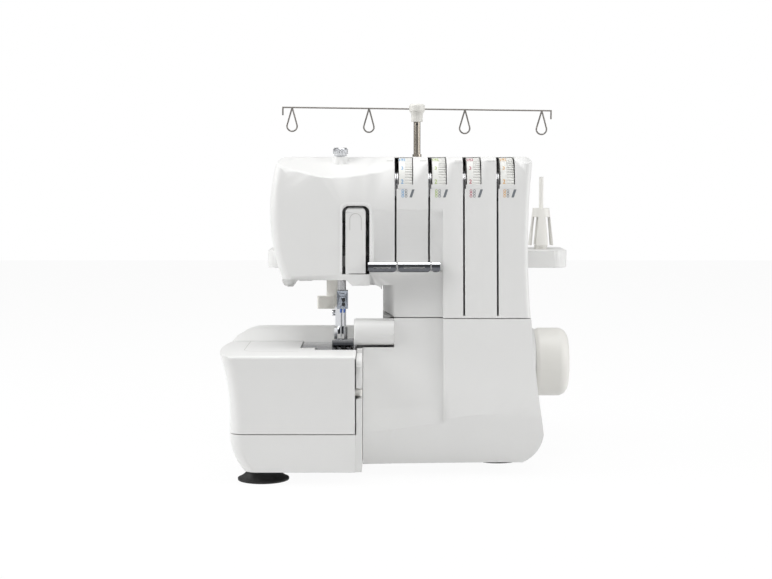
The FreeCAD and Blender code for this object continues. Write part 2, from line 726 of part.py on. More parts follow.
def make_shaft_bushes():
    bushes = [rod_x(x[0], x[1], shaft_y, shaft_z, shaft_r + bush_wall)
              .cut(rod_x(x[0], x[1], shaft_y, shaft_z, shaft_r + run_fit)) for x in cheek_x]
    return Part.makeCompound(bushes)


def make_bar_bushes():
    bushes = []
    for z in bridge_z[:2]:
        bushes.append(tube_z(z[0], z[1], needle_x, needle_y, bar_r + bush_wall, bar_r + run_fit))
        bushes.append(tube_z(z[0], z[1], presser_x, presser_y, presser_r + bush_wall, presser_r + run_fit))
    return Part.makeCompound(bushes)


# Drive train
def make_main_shaft():
    return rod_x(shaft_left, wheel_x[1] - 12.0, shaft_y, shaft_z, shaft_r)


def make_shaft_pulley():
    drum = rod_x(pulley_x[0], pulley_x[1], shaft_y, shaft_z, pulley_r)
    flanges = [rod_x(x, x + 1.5, shaft_y, shaft_z, pulley_r + belt_thick + 1.0)
               for x in (pulley_x[0] - 1.5, pulley_x[1])]
    return fuse(drum, *flanges).cut(rod_x(span_x[0], span_x[1], shaft_y, shaft_z, shaft_r))


def make_handwheel():
    # The wheel is turned about the shaft: closed rounded end outside, hollow towards the body.
    x0, x1 = wheel_x
    r = wheel_round
    rim = outline(
        "xz", 0.0, (x0, wheel_r - 2.0), (x0 + 4.0, wheel_r), (x1 - r - 2.0, wheel_r),
        ((x1 - r * 0.33, wheel_r - r * 0.3), (x1, wheel_r - r - 3.0)), (x1, 0.0), (x0 + 2.0, 0.0),
        (x0 + 2.0, hub_r), (x1 - 8.0, hub_r), (x1 - 8.0, wheel_r - 6.0), (x0, wheel_r - 6.0))
    wheel = Part.Face(rim).revolve(V(0, 0, 0), V(1, 0, 0), 360.0)
    wheel = wheel.translated(V(0, shaft_y, shaft_z))
    return wheel.cut(make_main_shaft())


def make_drive_motor():
    can = rod_x(motor_x[0], motor_x[1], motor_y, motor_z, motor_r)
    cap = rod_x(motor_x[0] - 6.0, motor_x[0], motor_y, motor_z, motor_r * 0.6)
    foot = box((motor_x[0] + 12.0, motor_x[1] - 12.0), (motor_y - motor_r * 0.7, motor_y + motor_r * 0.7),
               (frame_z[1], motor_z))
    shaft_room = rod_x(motor_x[1] - 8.0, motor_x[1] + 1.0, motor_y, motor_z, motor_shaft_r + run_fit)
    return fuse(can, cap, foot).cut(shaft_room)


def make_motor_pulley():
    shaft = rod_x(motor_x[1] - 8.0, pulley_x[1] + 3.0, motor_y, motor_z, motor_shaft_r)
    drum = rod_x(pulley_x[0], pulley_x[1], motor_y, motor_z, motor_pulley_r)
    flanges = [rod_x(x, x + 1.2, motor_y, motor_z, motor_pulley_r + belt_thick + 0.6)
               for x in (pulley_x[0] - 1.4, pulley_x[1] + 0.2)]
    return fuse(shaft, drum, *flanges)


def belt_loop(grow, x):
    # Outline round both pulleys, with straight runs on their outer tangents.
    big = pulley_r + grow
    small = motor_pulley_r + grow
    way = V(0, motor_y - shaft_y, motor_z - shaft_z)
    tilt = math.acos((big - small) / way.Length)
    heading = math.atan2(way.z, way.y)

    def on(centre, r, angle):
        return (centre[0] + r * math.cos(angle), centre[1] + r * math.sin(angle))
    top = (shaft_y, shaft_z)
    low = (motor_y, motor_z)
    return outline(
        "yz", x, on(top, big, heading + tilt),
        (on(top, big, heading + math.pi), on(top, big, heading - tilt)),
        on(low, small, heading - tilt),
        (on(low, small, heading), on(low, small, heading + tilt)))


def make_drive_belt():
    inset = 0.8
    x0 = pulley_x[0] + inset
    width = V(pulley_x[1] - pulley_x[0] - inset * 2, 0, 0)
    outer = Part.Face(belt_loop(belt_fit + belt_thick, x0)).extrude(width)
    return outer.cut(Part.Face(belt_loop(belt_fit, x0)).extrude(width))


def make_power_inlet():
    block = box((foot_right - 18.0, foot_right - 0.6), inlet_y, inlet_z)
    socket = box((foot_right - 14.0, foot_right), (inlet_y[0] + 3.0, inlet_y[1] - 3.0),
                 (inlet_z[0] + 3.0, inlet_z[1] - 3.0))
    middle = (inlet_y[0] + inlet_y[1]) / 2
    level = (inlet_z[0] + inlet_z[1]) / 2
    pins = [rod_x(foot_right - 15.0, foot_right - 7.0, middle + step, level, 1.5) for step in (-4.5, 4.5)]
    return fuse(block.cut(socket), *pins)


def make_power_switch():
    y = (switch_y[0] + loose * 2, switch_y[1] - loose * 2)
    z = (switch_z[0] + loose, switch_z[1] - loose)
    middle = (y[0] + y[1]) / 2
    deep = foot_right - 9.0
    return prism("xy", z, (deep, y[0] + 3.0), (foot_right - 1.2, y[0]), (foot_right - 2.4, middle),
                 (foot_right - 1.2, y[1]), (deep, y[1] - 3.0))


def make_setting_dial(z):
    x = wall_x(z)
    well = x - setting_deep
    face = x - setting_sunk
    stem = rod_x(well - 6.5, well + 1.0, setting_y, z, setting_stem_r)
    collar = rod_x(well - 6.5, well - 4.5, setting_y, z, setting_stem_r + 3.0)
    knob = rod_x(well + loose, face, setting_y, z, setting_r)
    grip = box((face, face + 0.8), (setting_y - setting_r * 0.8, setting_y + setting_r * 0.8),
               (z - 1.2, z + 1.2))
    ribs = [rod_x(well, face, setting_y + setting_r * math.cos(a), z + setting_r * math.sin(a), 0.9)
            for a in [2 * math.pi * i / setting_ribs for i in range(setting_ribs)]]
    return fuse(stem, collar, knob.cut(Part.makeCompound(ribs)), grip)


def wall_x(z):
    # Right side of the lower body at one height, from its three arc points.
    arc = Part.Arc(V(foot_right, 0, foot_right_z), V(waist_mid[0], 0, waist_mid[1]),
                   V(body_skirt, 0, door_top))
    cut = Part.LineSegment(V(0, 0, z), V(foot_right + 20.0, 0, z))
    return arc.toShape().distToShape(cut.toShape())[1][0][0].x


def make_suction_feet():
    profile = outline(
        "xz", 0.0, (0.0, 3.0), (cup_r - 4.0, 0.0), (cup_r, 0.0), (cup_r, 1.5),
        ((cup_neck_r + 3.0, 4.4), (cup_neck_r, 7.5)), (cup_neck_r, body_bottom), (cup_stem_r, body_bottom),
        (cup_stem_r, body_bottom + wall + 1.0), (0.0, body_bottom + wall + 1.0))
    cup = Part.Face(profile).revolve(V(0, 0, 0), V(0, 0, 1), 360.0)
    return Part.makeCompound([cup.translated(V(x, y, 0)) for x, y in cup_places])


# Stitching parts
def make_needle_bar():
    return rod_z(clamp_z[0] + 6.0, bridge_z[1][0] + needle_stroke + 8.0, needle_x, needle_y, bar_r)


def needle_places():
    return (needle_x - needle_pitch / 2, needle_x + needle_pitch / 2)


def make_needles():
    neck = clamp_z[0] - 4.0
    needles = []
    for x in needle_places():
        tip = Part.makeCone(0.1, needle_r, 3.0, V(x, needle_y, needle_tip), V(0, 0, 1))
        blade = rod_z(needle_tip + 3.0, neck, x, needle_y, needle_r)
        shank = rod_z(neck, clamp_z[0] + 5.0, x, needle_y, needle_shank_r)
        needles.append(fuse(tip, blade, shank))
    return Part.makeCompound(needles)


def make_clamp_screws():
    front = needle_y - clamp_width / 2 - 1.0
    return Part.makeCompound([rod_y(front - 0.6, front + 2.7, needle_x + 1.0, clamp_z[0] + z, 1.4)
                              for z in clamp_screw_z])


def make_needle_clamp():
    half = clamp_width / 2
    clamp = box((needle_x - half, needle_x + half), (needle_y - half - 1.0, needle_y + half), clamp_z)
    window = box((needle_x - 2.6, needle_x + 2.6), (needle_y - half - 2.0, needle_y - half + 0.8),
                 (clamp_z[1] - 5.5, clamp_z[1] - 2.0))
    for piece in (make_needle_bar(), make_needles(), make_clamp_screws(), window):
        clamp = clamp.cut(piece)
    return clamp


def make_presser_bar():
    return rod_z(shank_z[0] + 5.0, bridge_z[1][1] + presser_lift + 3.0, presser_x, presser_y, presser_r)


def make_shank_screw():
    left = presser_x - shank_half
    level = shank_z[1] - 6.0
    return fuse(rod_x(left - 3.0, left, presser_y, level, 2.8),
                rod_x(left, left + 1.8, presser_y, level, 1.5))


def make_presser_shank():
    block = box((presser_x - shank_half, presser_x + shank_half), (presser_y - 7.0, presser_y + 6.0), shank_z)
    lug = box((presser_x - lug_half, presser_x + lug_half), (foot_pin_y - 4.5, foot_pin_y + 4.5),
              (foot_pin_z - 2.9, shank_z[0] + 1.0))
    shank = fuse(block, lug).cut(make_presser_bar()).cut(make_shank_screw())
    return shank.cut(rod_x(span_x[0], 0.0, foot_pin_y, foot_pin_z, foot_pin_r + run_fit))


def make_presser_foot():
    front, back = foot_y
    low, high = foot_z
    sole = prism("yz", foot_x, (front + 0.5, low + 1.6), (front + 3.0, low), (back, low), (back, low + 2.2),
                 ((front + 26.0, low + 2.8), (front + 14.0, high - 2.8)), (front + 6.0, high),
                 (front + 1.0, high - 0.6))
    slot = box((needle_x - 4.5, needle_x + 4.5), (needle_y - 3.0, needle_y + 3.0), (low - 1.0, high + 1.0))
    ears = [box((presser_x + side - ear_half, presser_x + side + ear_half),
                (foot_pin_y - 4.0, foot_pin_y + 4.0),
                (low + 1.0, foot_pin_z + 3.0)) for side in (-ear_step, ear_step)]
    reach = ear_step + ear_half
    pin = rod_x(presser_x - reach, presser_x + reach, foot_pin_y, foot_pin_z, foot_pin_r)
    return fuse(sole.cut(slot), *ears, pin)


def make_pressure_screw():
    low = body_top + 0.7
    grip = low + 2.2
    top = pressure_knob_top
    disc = rod_z(low, grip, presser_x, presser_y, pressure_knob_r - 1.0)
    knob = rod_z(grip, top - 1.5, presser_x, presser_y, pressure_knob_r)
    crown = Part.makeCone(pressure_knob_r, pressure_knob_r - 1.5, 1.5, V(presser_x, presser_y, top - 1.5))
    stem = rod_z(bridge_z[2][0], low, presser_x, presser_y, screw_r)
    grooves = [rod_z(grip, top, presser_x + pressure_knob_r * math.cos(a),
                     presser_y + pressure_knob_r * math.sin(a), 0.9)
               for a in [2 * math.pi * i / knob_grooves for i in range(knob_grooves)]]
    return fuse(disc, knob, crown, stem).cut(Part.makeCompound(grooves))


def make_presser_lifter():
    back = lifter_back_y
    pin = rod_y(rear_top_y - 7.0, back, lifter_x, lifter_z, lifter_pin_r)
    hub = rod_y(back, back + lifter_thick, lifter_x, lifter_z, 8.5)
    arm = box((lifter_x - 5.5, lifter_x + 5.5), (back, back + lifter_thick),
              (lifter_toe_z[0] + 3.0, lifter_z))
    toe = round_box((lifter_x - 15.0, lifter_x + 3.0), (back - 0.5, back + lifter_thick + 2.0),
                    lifter_toe_z, 2.0)
    return fuse(pin, hub, arm, toe)


def dog_cells(grow):
    # Rows of teeth in front of and behind the needles.
    return [((needle_x + x - grow, needle_x + x + dog_width + grow),
             (y[0] - grow_y(grow), y[1] + grow_y(grow)))
            for x in dog_rows for y in dog_pads]


def grow_y(grow):
    return grow + dog_travel if grow else 0.0


def make_needle_plate():
    wide, narrow, right = plate_x
    front, step, back = plate_y
    plate = prism("xy", (bed_top - plate_thick, bed_top), (narrow, front), (right, front), (right, back),
                  (wide, back), (wide, step), (narrow, step))
    hole = box((needle_x - 3.2, needle_x + 3.2), (needle_y - 1.6, needle_y + 1.6), span_z)
    plate = plate.cut(hole)
    for x, y in dog_cells(loose):
        plate = plate.cut(box(x, y, span_z))
    return plate


def feed_bar(grow):
    return box((needle_x - 15.0 - grow, needle_x - 11.0 + grow), (dog_pads[0][0], feed_block_y[1] + 6.0),
               (dog_low - grow, dog_low + 5.0 + grow))


def make_feed_dogs():
    body = bed_top - plate_thick - 1.0
    pieces = [feed_bar(0.0)]
    for y in dog_pads:
        pieces.append(box((needle_x - 15.0, needle_x + 9.0), y, (dog_low, body)))
    for x, y in dog_cells(0.0):
        pieces.append(box(x, y, (dog_low, bed_top + dog_rise)))
    return fuse(*pieces)


def make_lower_knife():
    right = plate_x[2]
    blade = box((right + 0.1, right + 0.9), (needle_y - 8.0, needle_y + 8.0), (bed_top - 14.0, bed_top))
    holder = box((right - 4.5, right + 0.1), (needle_y - 5.5, needle_y - 3.0),
                 (bed_top - 10.0, bed_top - plate_thick))
    return fuse(blade, holder)


def make_upper_knife():
    x, y = knife_rod
    left = plate_x[2] + 1.1
    low = looper_block_top + knife_travel + 2.0
    rod = rod_z(looper_block_top - 44.0, low + 4.0, x, y, knife_rod_r)
    arm = box((left, x + 1.5), (needle_y - 4.0, y + knife_rod_r), (low, low + 5.0))
    blade = prism("yz", (left, left + 1.5), (needle_y - 6.0, low), (needle_y + 6.0, low),
                  (needle_y + 6.0, bed_top + 13.0),
                  (needle_y - 6.0, bed_top + 6.0))
    return fuse(rod, arm, blade)


def make_looper(axis, y, *blade):
    x, z = axis
    hub = rod_y(y[0], y[1], x, z, looper_hub_r)
    arm = prism("xz", (y[0] + 1.0, y[1] - 1.0), *[(x + dx, z + dz) for dx, dz in blade])
    pin_room = rod_y(y[0], y[1], x, z, looper_pin_r + run_fit)
    return fuse(hub, arm).cut(pin_room)


def make_lower_looper():
    return make_looper(lower_looper_axis, lower_looper_y, (4.0, 1.5), (-15.0, 29.0), (-33.0, 37.5),
                       (-36.0, 37.0),
                       (-18.0, 25.0), (-4.0, -1.0))


def make_upper_looper():
    return make_looper(upper_looper_axis, upper_looper_y, (4.0, 2.0), (-9.0, 19.0), (-16.0, 22.0),
                       (-14.0, 17.0),
                       (-4.0, 0.0))


def make_looper_pins():
    pins = []
    for axis, y in ((lower_looper_axis, lower_looper_y), (upper_looper_axis, upper_looper_y)):
        pins.append(rod_y(y[0] - 1.0, looper_block_y[1], axis[0], axis[1], looper_pin_r))
    return Part.makeCompound(pins)


def make_knife_guard():
    roll = rod_x(guard_x[0], guard_x[1], guard_y, guard_z, guard_r)
    roll = roll.makeFillet(2.0, [e for e in roll.Edges if e.BoundBox.XMax < guard_x[0] + 1.0])
    tail = box((throat_x + wall + 0.6, guard_x[1]), (guard_y, shaft_y - 17.0), (guard_z - 7.0, guard_z + 7.0))
    return fuse(roll, tail)


def make_plate_latch():
    tab = round_box((bed_right - 11.0, latch_right), latch_y, (latch_z[0] + loose, latch_z[1] - loose), 2.0)
    return tab


def make_lamp_lens():
    return round_box((head_left + 14.0, head_left + 26.0), (needle_y - 4.0, needle_y + 30.0),
                     (head_bottom - 2.6, head_bottom), 2.0)


def make_case_screws():
    screws = []
    for x in case_screw_x:
        for z in case_screw_z:
            screws.append(fuse(rod_y(rear_y, rear_y + 1.6, x, z, 3.6),
                               rod_y(rear_y - wall - 4.0, rear_y, x, z, 1.6)))
    return Part.makeCompound(screws)


# Thread path
def make_take_up_cover():
    x0, x1 = cover_bar_x
    low, high = cover_bar_low, cover_bar_top
    bar = prism("yz", (x0, x1), (front_y(low) + 0.4, low), (front_y(high) + 0.4, high - 4.0),
                ((front_y(high) + 1.6, high - 1.2), (front_y(high) + 4.4, high)),
                (front_y(high) + 10.0, high), (front_y(low) + 10.0, low))
    r = cover_bar_round
    bar = bar.common(prism("xz", span_y, (x0, low), (x0, high - r),
                           ((x0 + r * arc_mid, high - r * arc_mid), (x0 + r, high)), (x1 - r, high),
                           ((x1 - r * arc_mid, high - r * arc_mid), (x1, high - r)), (x1, low)))
    straps = []
    inside = wall + 0.3
    for z in (low + 16.0, high - 14.0):
        straps.append(prism("yz", (recess_x[0] - 3.5, recess_x[1] + 0.9), (front_y(z) + inside, z),
                            (front_y(z + 8.0) + inside, z + 8.0), (front_y(z + 8.0) + inside + 3.0, z + 8.0),
                            (front_y(z) + inside + 3.0, z)))
    return fuse(bar, *straps)


def make_thread_guides(cover):
    # Bent chrome sheets: a flat top that meets the cover and a curled front.
    low, high = guide_z
    seat = front_y(high)
    root = front_y(scoop_z) + scoop_depth - scoop_r + math.sqrt(scoop_r ** 2 - (high - scoop_z) ** 2) + 0.5
    t = guide_sheet
    guides = []
    for x in guide_spans:
        r = guide_corner
        front = prism("xz", span_y, (x[0], high), (x[0], low + r),
                      ((x[0] + r * arc_mid, low + r * arc_mid), (x[0] + r, low)),
                      (x[1] - r, low), ((x[1] - r * arc_mid, low + r * arc_mid), (x[1], low + r)),
                      (x[1], high))
        if x[1] - x[0] > 3 * guide_slot[0]:
            middle = (low + high) / 2 - 1.0
            front = front.cut(box((x[0] + guide_slot[0], x[1] - guide_slot[0]), span_y,
                                  (middle, middle + guide_slot[1])))
        guides.append(prism(
            "yz", x, (root, high), (seat - 5.5, high), ((seat - 8.2, high - 3.4), (seat - 6.0, low)),
            (seat - 6.0 + t, low), ((seat - 8.2 + t, high - 3.4), (seat - 5.5 + t * 0.4, high - t)),
            (root, high - t)).common(front).cut(cover))
    return Part.makeCompound(guides)


def make_tension_shaft():
    return rod_x(tension_post_x[0][0], tension_post_x[1][1], dial_y, dial_z, tension_shaft_r)


def make_tension_discs():
    discs = []
    for x in dial_x:
        for step in (3.4, 1.7):
            disc = rod_x(x - step, x - step + 1.1, dial_y, dial_z, disc_r)
            discs.append(disc.cut(make_tension_shaft()))
    return Part.makeCompound(discs)


def make_tension_dial(x):
    # Smooth band for the figures on the left, ribbed band on the right.
    band = rod_x(x, x + dial_width * 0.46, dial_y, dial_z, dial_r)
    grip = rod_x(x + dial_width * 0.46, x + dial_width, dial_y, dial_z, dial_r)
    grooves = []
    for i in range(dial_ribs):
        a = 2 * math.pi * i / dial_ribs
        grooves.append(rod_x(x + dial_width * 0.46, x + dial_width, dial_y + (dial_r + 0.3) * math.cos(a),
                             dial_z + (dial_r + 0.3) * math.sin(a), 0.9))
    dial = fuse(band, grip.cut(Part.makeCompound(grooves)))
    hollow = rod_x(x + 3.0, x + dial_width, dial_y, dial_z, dial_r - 6.0)
    hub = rod_x(x, x + dial_width, dial_y, dial_z, tension_shaft_r + 4.0)
    return fuse(dial.cut(hollow), hub).cut(rod_x(x, x + dial_width, dial_y, dial_z,
                                                 tension_shaft_r + run_fit))


# Spool stand
def pin_places():
    return [stand_x + side * step for side, step in ((-1, pin_step[1]), (-1, pin_step[0]), (1, pin_step[0]),
                                                     (1, pin_step[1]))]


def rear_at(z):
    low = door_top + seam
    return rear_y - (z - low) * (rear_y - rear_top_y) / (body_top - back_round - low)


def make_spool_tray():
    x = (stand_x - tray_half, stand_x + tray_half)
    outer = round_box(x, tray_y, tray_z, tray_corner)
    hollow = round_box((x[0] + tray_wall, x[1] - tray_wall), (tray_y[0] + tray_wall, tray_y[1] - tray_wall),
                       (tray_z[0] - 1.0, tray_z[1] - tray_wall), tray_corner - tray_wall)
    boss = rod_z(tray_z[0], tray_z[1], stand_x, stand_y, pole_sleeve_r + 4.0)
    tray = fuse(outer.cut(hollow), boss).cut(rod_z(0.0, span_z[1], stand_x, stand_y, pole_sleeve_r))
    for px in pin_places():
        tray = tray.cut(rod_z(tray_z[0], tray_z[1], px, stand_y, pin_r))
    return tray


def make_stand_bracket():
    x = (stand_x - bracket_half, stand_x + bracket_half)
    low = pole_low
    end = stand_y + pole_sleeve_r + 6.0
    body = prism("yz", x, (rear_at(low - 8.0), low - 8.0), (rear_at(tray_z[0]), tray_z[0]), (end, tray_z[0]),
                 (end, low + 6.0), (stand_y - 12.0, low))
    return body.cut(rod_z(low, span_z[1], stand_x, stand_y, pole_sleeve_r))


def make_spool_pins():
    return Part.makeCompound([rod_z(tray_z[1] - tray_wall, pin_top, x, stand_y, pin_r) for x in pin_places()])


def make_cone_holder():
    low, high = cone_z
    outer = Part.makeCone(cone_r[0], cone_r[1], high - low, V(0, 0, low))
    inner = Part.makeCone(cone_r[0] - cone_wall, cone_r[1] - cone_wall, high - low, V(0, 0, low - cone_wall))
    holder = outer.cut(inner)
    for i in range(cone_legs):
        gap = box((-cone_r[0] * 0.27, cone_r[0] * 0.27), (0.0, cone_r[0] + 1.0), (low - 1.0, high - 9.0))
        holder = holder.cut(gap.rotated(V(0, 0, 0), V(0, 0, 1), 360.0 * (i + 0.5) / cone_legs))
    stem = rod_z(tray_z[1], high, 0.0, 0.0, pin_r + 2.0)
    collar = rod_z(tray_z[1], low, 0.0, 0.0, pin_r + 4.5)
    return fuse(holder, stem, collar).cut(rod_z(tray_z[1], high + 1.0, 0.0, 0.0, pin_r))


def make_cone_holders():
    return Part.makeCompound([make_cone_holder().translated(V(x, stand_y, 0)) for x in pin_places()])


def make_pole_outer():
    return tube_z(pole_low, pole_sleeve_top, stand_x, stand_y, pole_sleeve_r, pole_r + run_fit)


def make_pole_inner():
    return rod_z(pole_sleeve_top - pole_travel - 16.0, pole_top, stand_x, stand_y, pole_r)


def make_guide_holder():
    low, high = holder_z
    profile = outline("xz", 0.0, (0.0, low), (5.8, low), (5.8, low + 5.0),
                      ((6.6, low + 9.0), (8.0, low + 11.0)),
                      (8.0, high - 1.5), (6.5, high), (0.0, high))
    cap = Part.Face(profile).revolve(V(0, 0, 0), V(0, 0, 1), 360.0).translated(V(stand_x, stand_y, 0))
    cap = cap.cut(rod_z(low, pole_top + 0.5, stand_x, stand_y, pole_r + run_fit))
    return cap.cut(tilt_wire(rod_x(span_x[0], span_x[1], stand_y, guide_wire_z, guide_wire_r)))


def tilt_wire(wire):
    return wire.rotated(V(stand_x, stand_y, guide_wire_z), V(0, 1, 0), wire_tilt)


def bent_wire(points, r):
    pieces = []
    for a, b in zip(points, points[1:]):
        pieces.append(rod_between(a, b, r))
        pieces.append(Part.makeSphere(r, b))
    return pieces


def make_thread_loop(x):
    # A teardrop of wire: two legs tangent to a round eye.
    top = V(x, stand_y, guide_wire_z)
    centre = V(x, stand_y, guide_wire_z - loop_drop)
    leg = math.sqrt(loop_drop ** 2 - loop_r ** 2)
    half = math.asin(loop_r / loop_drop)
    feet = [top + V(side * leg * math.sin(half), 0, -leg * math.cos(half)) for side in (-1, 1)]
    arc = Part.Arc(feet[0], centre + V(0, 0, -loop_r), feet[1]).toShape()
    section = Part.Wire(Part.Circle(feet[0], feet[0] - top, guide_wire_r).toShape())
    eye = Part.Wire(arc).makePipeShell([section], True, False)
    return [eye] + [rod_between(top, foot, guide_wire_r) for foot in feet]


def make_guide_wire():
    ends = [V(stand_x + side * guide_wire_half, stand_y, guide_wire_z) for side in (-1, 1)]
    drop = V(0, 0, -hook_drop)
    pieces = bent_wire([ends[0] + drop, ends[0], ends[1], ends[1] + drop], guide_wire_r)
    for x in pin_places():
        pieces += make_thread_loop(x)
    return tilt_wire(fuse(*pieces))


def make_nodes():
    shell = upper_shell()
    screws = make_case_screws()
    front_cover = make_front_cover(shell)
    nodes = {
        "base_pan": make_base_pan(),
        "frame_casting": make_frame_casting(),
        "front_cover": front_cover,
        "rear_cover": make_rear_cover(shell).cut(screws),
        "case_screws": screws,
        "bed_rear_cover": make_bed_rear_cover(),
        "cloth_plate": make_cloth_plate(),
        "plate_latch": make_plate_latch(),
        "looper_door": make_looper_door(),
        "door_hinge_rod": make_door_hinge_rod(),
        "knife_guard": make_knife_guard(),
        "take_up_cover": make_take_up_cover(),
        "lamp_lens": make_lamp_lens(),
        "suction_feet": make_suction_feet(),
        "shaft_bushes": make_shaft_bushes(),
        "bar_bushes": make_bar_bushes(),
        "main_shaft": make_main_shaft(),
        "shaft_pulley": make_shaft_pulley(),
        "handwheel": make_handwheel(),
        "drive_motor": make_drive_motor(),
        "motor_pulley": make_motor_pulley(),
        "drive_belt": make_drive_belt(),
        "power_inlet": make_power_inlet(),
        "power_switch": make_power_switch(),
        "stitch_length_dial": make_setting_dial(setting_z[0]),
        "differential_dial": make_setting_dial(setting_z[1]),
        "needle_bar": make_needle_bar(),
        "needle_clamp": make_needle_clamp(),
        "needles": make_needles(),
        "clamp_screws": make_clamp_screws(),
        "presser_bar": make_presser_bar(),
        "presser_shank": make_presser_shank(),
        "shank_screw": make_shank_screw(),
        "presser_foot": make_presser_foot(),
        "pressure_screw": make_pressure_screw(),
        "presser_lifter": make_presser_lifter(),
        "needle_plate": make_needle_plate(),
        "feed_dogs": make_feed_dogs(),
        "lower_knife": make_lower_knife(),
        "upper_knife": make_upper_knife(),
        "lower_looper": make_lower_looper(),
        "upper_looper": make_upper_looper(),
        "looper_pins": make_looper_pins(),
        "thread_guides": make_thread_guides(front_cover),
        "tension_shaft": make_tension_shaft(),
        "tension_discs": make_tension_discs(),
        "spool_tray": make_spool_tray(),
        "stand_bracket": make_stand_bracket(),
        "spool_pins": make_spool_pins(),
        "cone_holders": make_cone_holders(),
        "pole_outer_tube": make_pole_outer(),
        "pole_inner_tube": make_pole_inner(),
        "guide_holder": make_guide_holder(),
        "guide_wire": make_guide_wire(),
    }
    for i, x in enumerate(dial_x):
        nodes["tension_dial_%d" % (i + 1)] = make_tension_dial(x)
    return nodes


def main():
    os.makedirs("parts", exist_ok=True)
    for name, shape in make_nodes().items():
        shape.exportStep("parts/%s.step" % name)
        print(name, len(shape.Solids), round(shape.Volume, 1))


if __name__ == "__main__":
    main()
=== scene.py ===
import bpy
import bmesh
import json
import math
from mathutils import Matrix, Vector
from mathutils.bvhtree import BVHTree


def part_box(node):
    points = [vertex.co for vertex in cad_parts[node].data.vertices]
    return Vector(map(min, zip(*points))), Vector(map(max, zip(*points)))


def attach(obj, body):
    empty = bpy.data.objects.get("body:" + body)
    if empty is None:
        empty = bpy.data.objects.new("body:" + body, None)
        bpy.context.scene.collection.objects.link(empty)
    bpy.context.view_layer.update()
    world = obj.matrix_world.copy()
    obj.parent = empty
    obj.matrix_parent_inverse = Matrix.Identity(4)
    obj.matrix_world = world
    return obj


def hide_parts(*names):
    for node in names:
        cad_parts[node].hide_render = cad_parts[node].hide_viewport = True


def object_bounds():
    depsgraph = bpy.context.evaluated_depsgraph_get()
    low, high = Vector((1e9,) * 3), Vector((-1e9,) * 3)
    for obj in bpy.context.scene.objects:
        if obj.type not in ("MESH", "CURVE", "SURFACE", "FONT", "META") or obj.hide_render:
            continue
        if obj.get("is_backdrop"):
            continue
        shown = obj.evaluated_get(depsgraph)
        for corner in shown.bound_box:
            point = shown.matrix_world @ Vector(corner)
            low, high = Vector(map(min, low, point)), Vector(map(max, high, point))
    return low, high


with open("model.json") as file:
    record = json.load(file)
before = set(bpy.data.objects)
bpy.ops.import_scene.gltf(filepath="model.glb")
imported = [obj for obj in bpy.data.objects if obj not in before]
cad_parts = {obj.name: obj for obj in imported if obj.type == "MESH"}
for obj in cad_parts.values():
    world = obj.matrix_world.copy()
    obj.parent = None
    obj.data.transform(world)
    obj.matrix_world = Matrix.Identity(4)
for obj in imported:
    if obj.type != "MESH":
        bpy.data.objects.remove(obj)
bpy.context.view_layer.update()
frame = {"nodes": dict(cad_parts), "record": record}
print("frame loaded:", len(frame["nodes"]), "nodes")

mm = 0.001
record = frame["record"]
nodeSlots = {part["node"]: part["material_slot"] for part in record["subparts"]}
nodeBodies = {node: body for body, nodes in record["behaviour"]["bodies"].items() for node in nodes}


class Sock:
    def __init__(self, tree, out):
        self.tree = tree
        self.out = out

    def add(self, kind, settings, inputs, output=0):
        made = self.tree.nodes.new(kind)
        for name, value in settings.items():
            setattr(made, name, value)
        for name, value in inputs.items():
            if isinstance(value, Sock):
                self.tree.links.new(value.out, made.inputs[name])
            else:
                made.inputs[name].default_value = value
        return Sock(self.tree, made.outputs[output])

    def maths(self, operation, first, second):
        return self.add("ShaderNodeMath", {"operation": operation}, {0: first, 1: second})

    def __add__(self, other):
        return self.maths("ADD", self, other)

    def __radd__(self, other):
        return self.maths("ADD", other, self)

    def __sub__(self, other):
        return self.maths("SUBTRACT", self, other)

    def __rsub__(self, other):
        return self.maths("SUBTRACT", other, self)

    def __mul__(self, other):
        return self.maths("MULTIPLY", self, other)

    def __rmul__(self, other):
        return self.maths("MULTIPLY", other, self)

    def above(self, level):
        return self.maths("GREATER_THAN", self, level)

    def axis(self, number):
        return self.add("ShaderNodeSeparateXYZ", {}, {0: self}, number)

    def noise(self, scale, detail=2.0):
        return self.add("ShaderNodeTexNoise", {}, {"Vector": self, "Scale": scale, "Detail": detail})

    def stretched(self, scale):
        return self.add("ShaderNodeMapping", {}, {"Vector": self, "Scale": scale})

    def softEdge(self, radius):
        return self.add("ShaderNodeBevel", {"samples": 6}, {"Radius": radius})

    def mixed(self, first, second):  # this socket is the factor
        first = first if isinstance(first, Sock) else (*first, 1)
        second = second if isinstance(second, Sock) else (*second, 1)
        return self.add("ShaderNodeMix", {"data_type": "RGBA"}, {0: self, 6: first, 7: second}, 2)

    def spread(self, lowest, highest):
        return self * (highest - lowest) + lowest


def startMaterial(name, **constants):
    material = bpy.data.materials.new(name)
    material.use_nodes = True
    tree = material.node_tree
    shader = tree.nodes["Principled BSDF"]
    for socket, value in constants.items():
        shader.inputs[socket].default_value = value
    place = Sock(tree, tree.nodes.new("ShaderNodeTexCoord").outputs["Object"])
    return material, shader, place


def feed(shader, socket, value):
    value.tree.links.new(value.out, shader.inputs[socket])


moulded = {"index": 1.49, "tint": 14.0, "tintDetail": 3.0, "gloss": 60.0, "rough": (0.34, 0.46),
           "grain": 2600.0, "depth": 0.2 * mm}


def plastic(name, light, dark, rough=moulded["rough"], grain=0.06, edge=0.0):
    material, shader, place = startMaterial(name, **{"IOR": moulded["index"]})
    tint = place.noise(moulded["tint"], moulded["tintDetail"])
    feed(shader, "Base Color", tint.mixed(dark, light))
    feed(shader, "Roughness", place.noise(moulded["gloss"]).spread(*rough))
    bump = {"Strength": grain, "Distance": moulded["depth"], "Height": place.noise(moulded["grain"])}
    if edge:
        bump["Normal"] = place.softEdge(edge)
    feed(shader, "Normal", place.add("ShaderNodeBump", {}, bump))
    return material


